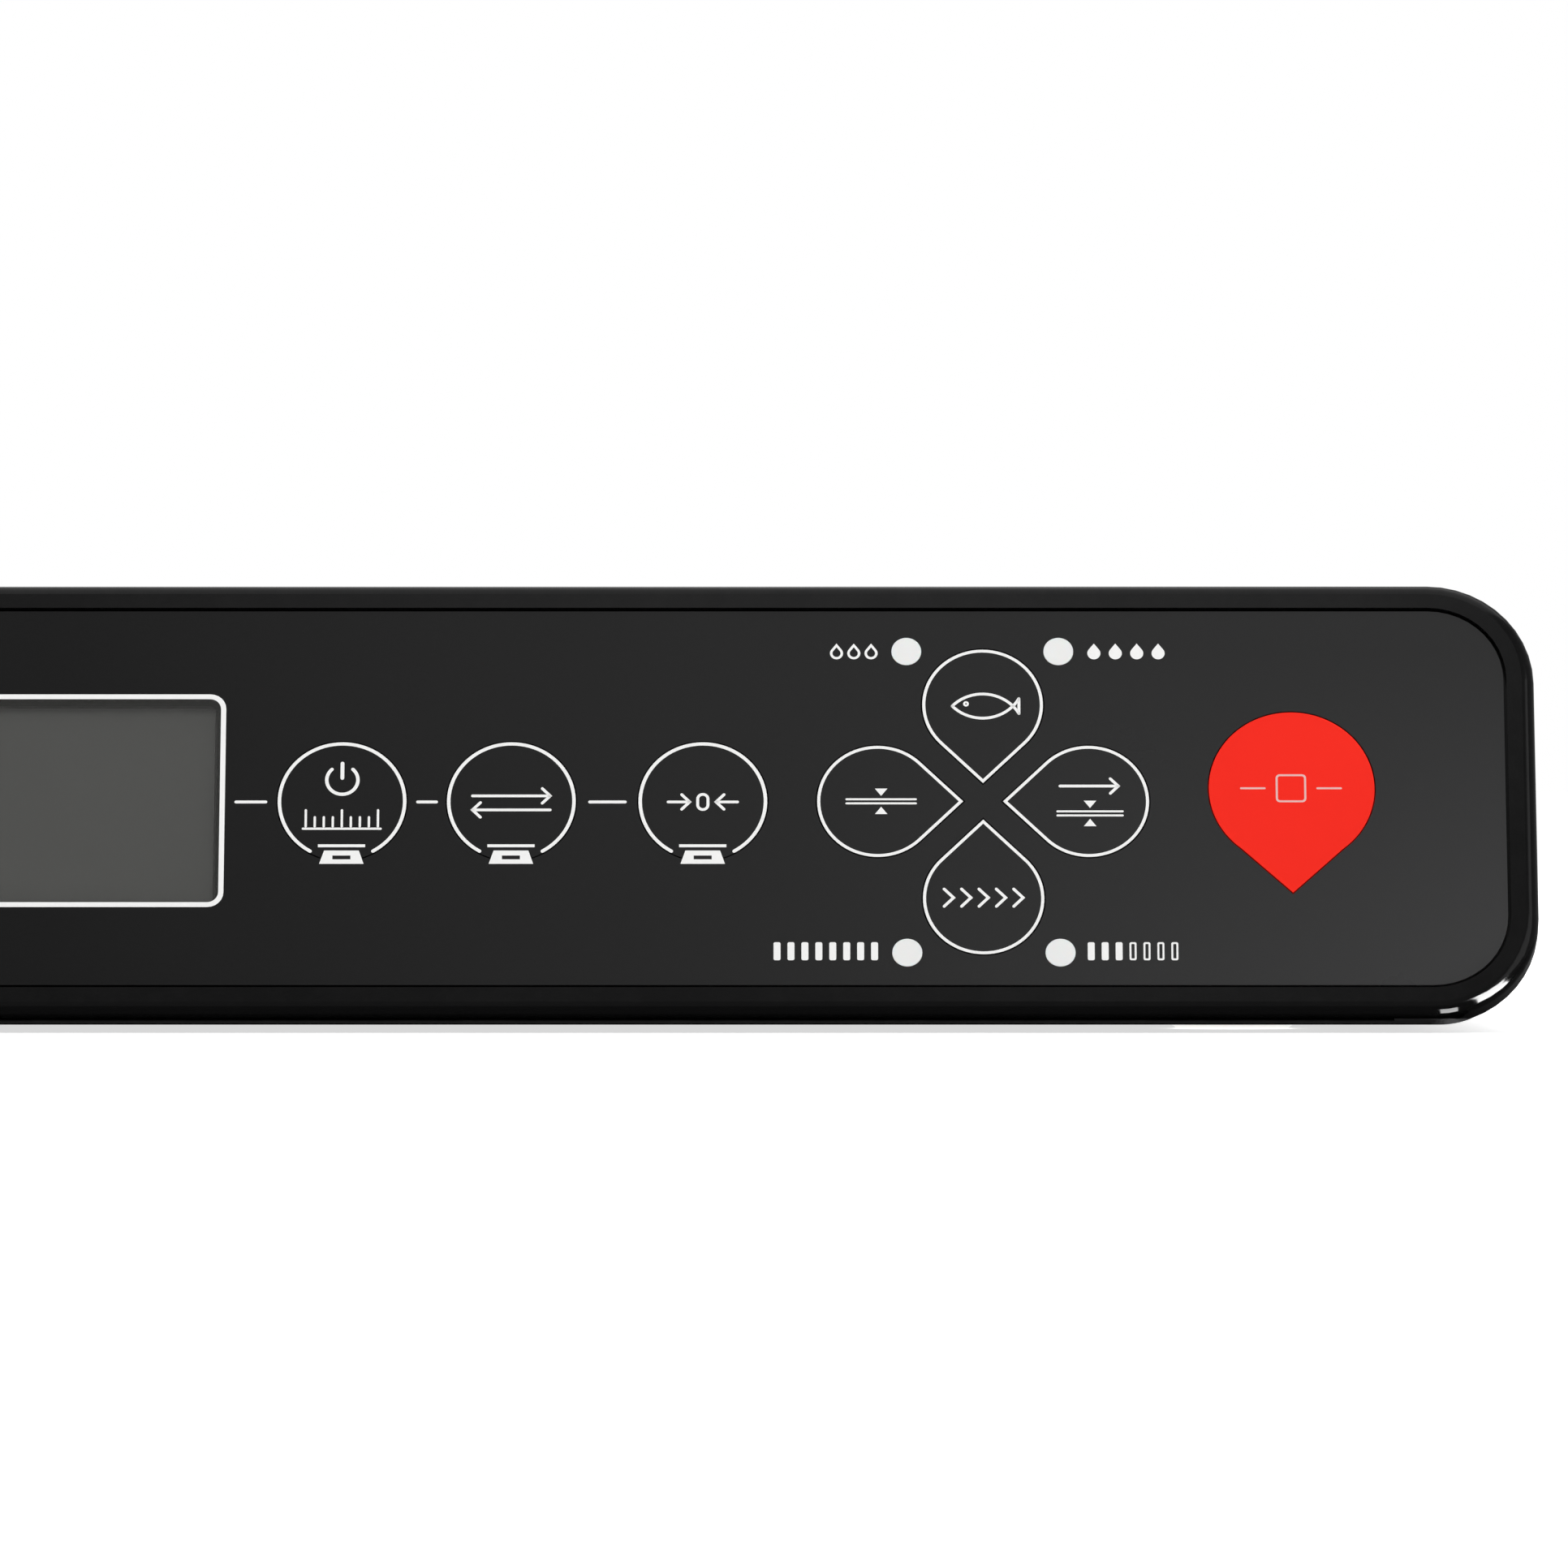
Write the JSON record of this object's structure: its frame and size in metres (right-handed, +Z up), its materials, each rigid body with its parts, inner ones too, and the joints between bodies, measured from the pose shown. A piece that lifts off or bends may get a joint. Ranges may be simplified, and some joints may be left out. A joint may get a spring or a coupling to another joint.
{
  "type": "vacuum sealer",
  "caption": "Counter-top bag vacuum sealer: leaning control fascia, hinged lid over a sealing bar and vacuum trough, and a kitchen-scale platform behind.",
  "frame": {"origin": "centre of the footprint, on the worktop", "axes": "+X to the right along the fascia, +Y from the fascia to the rear, +Z up"},
  "size_m": [0.43, 0.23, 0.0654],
  "materials": {
    "front_bezel": "satin black",
    "panel_overlay": "smooth charcoal",
    "display_window": "clear grey",
    "display_module": "matte grey",
    "scale_key": "smooth charcoal",
    "mode_key": "smooth charcoal",
    "tare_key": "smooth charcoal",
    "food_key": "smooth charcoal",
    "seal_key": "smooth charcoal",
    "vacuum_seal_key": "smooth charcoal",
    "speed_key": "smooth charcoal",
    "stop_key": "smooth red",
    "light_pipes": "white diffusing",
    "control_board": "solder-masked",
    "key_switches": "moulded",
    "upper_housing": "fine texture",
    "lower_housing": "fine texture",
    "seal_deck": "heat-resistant moulding",
    "sealing_bar": "insulating carrier",
    "heating_wire": "flat resistance strip",
    "release_tape": "coated glass cloth",
    "lower_gasket": "closed-cell foam",
    "drip_tray": "satin",
    "vacuum_port": "natural",
    "lid_shell": "fine texture",
    "lid_liner": "satin",
    "lid_lugs": "zinc-plated",
    "press_strip": "silicone",
    "upper_gasket": "closed-cell foam",
    "hinge_pins": "ground",
    "left_lock_slider": "satin",
    "right_lock_slider": "satin",
    "lid_switch": "moulded",
    "pump_motor": "zinc-plated can",
    "pump_head": "moulded",
    "air_tube": "silicone",
    "release_valve": "moulded",
    "power_board": "solder-masked",
    "transformer": "taped windings",
    "capacitors": "sleeved",
    "power_inlet": "moulded, with metal pins",
    "load_cell": "milled",
    "load_cell_stand": "moulded",
    "platform_carrier": "moulded",
    "scale_platform": "brushed",
    "feet": "matte",
    "housing_screws": "zinc-plated",
    "board_screws": "zinc-plated",
    "load_cell_screws": "zinc-plated"
  },
  "bodies": {
    "base": {"front_bezel": "front_bezel", "panel_overlay": "panel_overlay", "display_window": "display_window", "display_module": "display_module", "light_pipes": "light_pipes", "control_board": "control_board", "key_switches": "key_switches", "upper_housing": "upper_housing", "lower_housing": "lower_housing", "seal_deck": "seal_deck", "sealing_bar": "sealing_bar", "heating_wire": "heating_wire", "release_tape": "release_tape", "lower_gasket": "lower_gasket", "drip_tray": "drip_tray", "vacuum_port": "vacuum_port", "hinge_pins": "hinge_pins", "lid_switch": "lid_switch", "pump_motor": "pump_motor", "pump_head": "pump_head", "air_tube": "air_tube", "release_valve": "release_valve", "power_board": "power_board", "transformer": "transformer", "capacitors": "capacitors", "power_inlet": "power_inlet", "load_cell": "load_cell", "load_cell_stand": "load_cell_stand", "feet": "feet", "housing_screws": "housing_screws", "board_screws": "board_screws", "load_cell_screws": "load_cell_screws"},
    "lid": {"lid_shell": "lid_shell", "lid_liner": "lid_liner", "lid_lugs": "lid_lugs", "press_strip": "press_strip", "upper_gasket": "upper_gasket"},
    "scale_key": {"scale_key": "scale_key"},
    "mode_key": {"mode_key": "mode_key"},
    "tare_key": {"tare_key": "tare_key"},
    "food_key": {"food_key": "food_key"},
    "seal_key": {"seal_key": "seal_key"},
    "vacuum_seal_key": {"vacuum_seal_key": "vacuum_seal_key"},
    "speed_key": {"speed_key": "speed_key"},
    "stop_key": {"stop_key": "stop_key"},
    "left_lock": {"left_lock_slider": "left_lock_slider"},
    "right_lock": {"right_lock_slider": "right_lock_slider"},
    "platform": {"scale_platform": "scale_platform", "platform_carrier": "platform_carrier"}
  },
  "joints": [
    {"name": "lid_hinge", "type": "hinge", "parent": "base", "child": "lid", "pos_m": [0, 0, 0.0556], "axis": [-1, 0, 0], "range_deg": [0, 95]},
    {"name": "scale_press", "type": "slide", "parent": "base", "child": "scale_key", "axis": [0, 0.9171, -0.3987], "range_m": [0, 0.0005], "stiffness_N_per_m": 2000},
    {"name": "mode_press", "type": "slide", "parent": "base", "child": "mode_key", "axis": [0, 0.9171, -0.3987], "range_m": [0, 0.0005], "stiffness_N_per_m": 2000},
    {"name": "tare_press", "type": "slide", "parent": "base", "child": "tare_key", "axis": [0, 0.9171, -0.3987], "range_m": [0, 0.0005], "stiffness_N_per_m": 2000},
    {"name": "food_press", "type": "slide", "parent": "base", "child": "food_key", "axis": [0, 0.9171, -0.3987], "range_m": [0, 0.0005], "stiffness_N_per_m": 2000},
    {"name": "seal_press", "type": "slide", "parent": "base", "child": "seal_key", "axis": [0, 0.9171, -0.3987], "range_m": [0, 0.0005], "stiffness_N_per_m": 2000},
    {"name": "vacuum_seal_press", "type": "slide", "parent": "base", "child": "vacuum_seal_key", "axis": [0, 0.9171, -0.3987], "range_m": [0, 0.0005], "stiffness_N_per_m": 2000},
    {"name": "speed_press", "type": "slide", "parent": "base", "child": "speed_key", "axis": [0, 0.9171, -0.3987], "range_m": [0, 0.0005], "stiffness_N_per_m": 2000},
    {"name": "stop_press", "type": "slide", "parent": "base", "child": "stop_key", "axis": [0, 0.9171, -0.3987], "range_m": [0, 0.0005], "stiffness_N_per_m": 2000},
    {"name": "left_lock_slide", "type": "slide", "parent": "base", "child": "left_lock", "axis": [0, -1, 0], "range_m": [0, 0.005]},
    {"name": "right_lock_slide", "type": "slide", "parent": "base", "child": "right_lock", "axis": [0, -1, 0], "range_m": [0, 0.005]},
    {"name": "platform_load", "type": "slide", "parent": "base", "child": "platform", "axis": [0, 0, -1], "range_m": [0, 0.0004], "stiffness_N_per_m": 100000}
  ]
}
